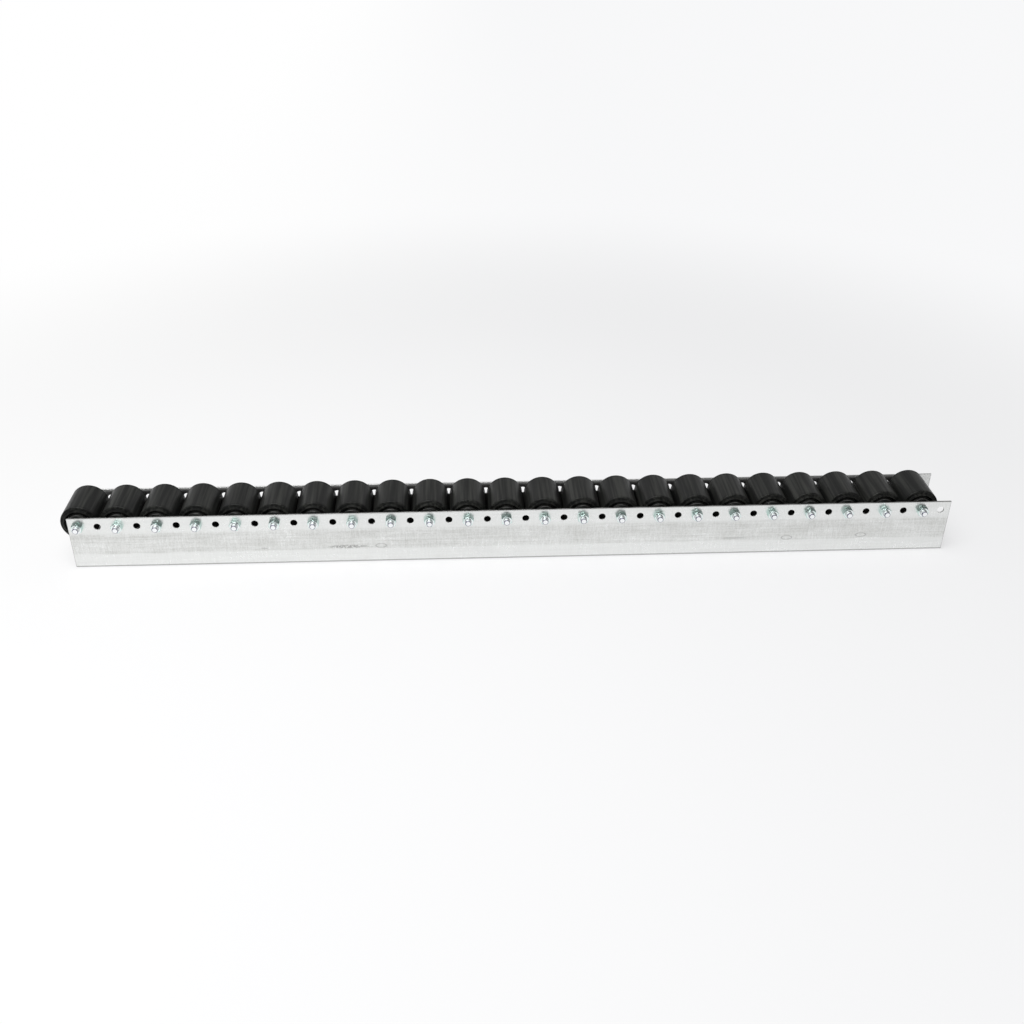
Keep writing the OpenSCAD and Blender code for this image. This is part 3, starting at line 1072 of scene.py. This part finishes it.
class TRACK_OT_stage(Operator):
    """Sets up the floor, the room light, the lamp and the camera"""

    bl_idname = "roller_track.stage"
    bl_label = "Stage"

    def execute(self, context):
        studio = context.scene.studio_settings
        context.scene.view_settings.view_transform = "Standard"
        self.floor(context.scene.track_colours, studio.floor_share)
        self.room(context.scene, studio)
        self.softbox("key_lamp", studio.key_place, studio.key_size, studio.key_power)
        self.camera(context.scene, studio)
        return {"FINISHED"}

    def floor(self, colours, even):
        """A plain pale floor: partly lit, which keeps the shadows, and partly an even tone."""
        half = 15.0
        mesh = bpy.data.meshes.new("floor")
        mesh.from_pydata([(-half, -half, 0), (half, -half, 0), (half, half, 0), (-half, half, 0)],
                         [], [(0, 1, 2, 3)])
        skin = Finish("floor", {"Roughness": 0.9, "Specular IOR Level": 0.0})
        skin.feed(skin.shader, "Base Color", opaque(colours.floor))
        path = skin.add("ShaderNodeLightPath")
        away = skin.step(skin.vector("LENGTH", skin.place), 0.7, 1.6)
        right = skin.step(skin.x, 0.3, 1.2)
        # In reflections the even tone fades away from the track, and most on the right: painted
        # shade on the right side of the room.
        kept = 1.0 - away * (0.70 + right * 0.25)
        mirrored = Value(skin, path.outputs["Is Glossy Ray"]) * kept
        seen = Value(skin, path.outputs["Is Camera Ray"]) + mirrored
        # Painted light: the even tone is brighter on the left, where the lamp hangs, than on the
        # right.
        across = skin.step(skin.x, -0.9, 0.4)
        tone = skin.mix(across, colours.floor_left, colours.floor_right)
        glow = skin.add("ShaderNodeEmission", {"Color": tone})
        share = seen * (even + away * (1.0 - even))
        mixed = skin.add("ShaderNodeMixShader", {
            0: share, 1: skin.shader.outputs["BSDF"], 2: glow.outputs[0]})
        skin.feed(skin.output, "Surface", mixed.outputs[0])
        mesh.materials.append(skin.material)
        new_piece("floor", mesh)

    def room(self, scene, studio):
        """A pale backdrop behind the track; dim in front and overhead."""
        world = bpy.data.worlds.new("room")
        world.use_nodes = True
        graph = Graph(world.node_tree)
        sky = 0.93
        direction = graph.add("ShaderNodeTexCoord").outputs["Generated"]
        _, back, up = graph.axes(direction)
        pale = graph.step(back, -0.1, 0.4) * (1.0 - graph.step(up, 0.55, 0.9))
        level = studio.room + pale * (studio.backdrop - studio.room)
        seen = Value(graph, graph.add("ShaderNodeLightPath").outputs["Is Camera Ray"])
        light = graph.add("ShaderNodeBackground", {
            "Color": (1.0, 1.0, 1.0, 1.0), "Strength": level + seen * (sky - level)})
        graph.add("ShaderNodeOutputWorld", {"Surface": light.outputs[0]})
        scene.world = world

    def softbox(self, name, place, size, power):
        """A square lamp that faces the track's middle."""
        lamp = bpy.data.lights.new(name, "AREA")
        lamp.size = size
        lamp.energy = power
        hung = new_piece(name, lamp)
        hung.location = place
        hung.rotation_euler = (-Vector(place)).to_track_quat("-Z", "Y").to_euler()

    def camera(self, scene, studio):
        """The camera at the photo's angle."""
        lens = bpy.data.cameras.new("camera")
        lens.sensor_width = 36.0
        lens.lens = studio.focal_length
        camera = new_piece("camera", lens)
        camera.matrix_world = (
            Matrix.Translation(studio.camera_place)
            @ Matrix.Rotation(-studio.camera_turn, 4, "Z")
            @ Matrix.Rotation(TURN / 4 - studio.camera_dip, 4, "X")
            @ Matrix.Rotation(studio.camera_roll, 4, "Z"))
        scene.camera = camera


# ---- add-on ----

class TRACK_PT_panel(Panel):
    """Lists the track's pieces, sizes and colours"""

    bl_idname = "TRACK_PT_panel"
    bl_label = "Roller track"
    bl_space_type = "VIEW_3D"
    bl_region_type = "UI"
    bl_category = "Roller track"

    def draw(self, context):
        for operator in STEPS:
            self.layout.operator(operator.bl_idname)
        for settings in (context.scene.track_sizes, context.scene.track_colours,
                         context.scene.studio_settings):
            box = self.layout.box()
            for name in settings.__annotations__:
                box.prop(settings, name)


STEPS = (TRACK_OT_channel, TRACK_OT_fasteners, TRACK_OT_axle_parts, TRACK_OT_rollers,
         TRACK_OT_bearings, TRACK_OT_stage)
CLASSES = (TrackSizes, TrackColours, StudioSettings, *STEPS, TRACK_PT_panel)


def register():
    for entry in CLASSES:
        bpy.utils.register_class(entry)
    bpy.types.Scene.track_sizes = PointerProperty(type=TrackSizes)
    bpy.types.Scene.track_colours = PointerProperty(type=TrackColours)
    bpy.types.Scene.studio_settings = PointerProperty(type=StudioSettings)


def unregister():
    for name in ("studio_settings", "track_colours", "track_sizes"):
        delattr(bpy.types.Scene, name)
    for entry in reversed(CLASSES):
        bpy.utils.unregister_class(entry)


def main():
    register()
    for step in STEPS:
        group, name = step.bl_idname.split(".")
        getattr(getattr(bpy.ops, group), name)()


if __name__ == "__main__":
    main()
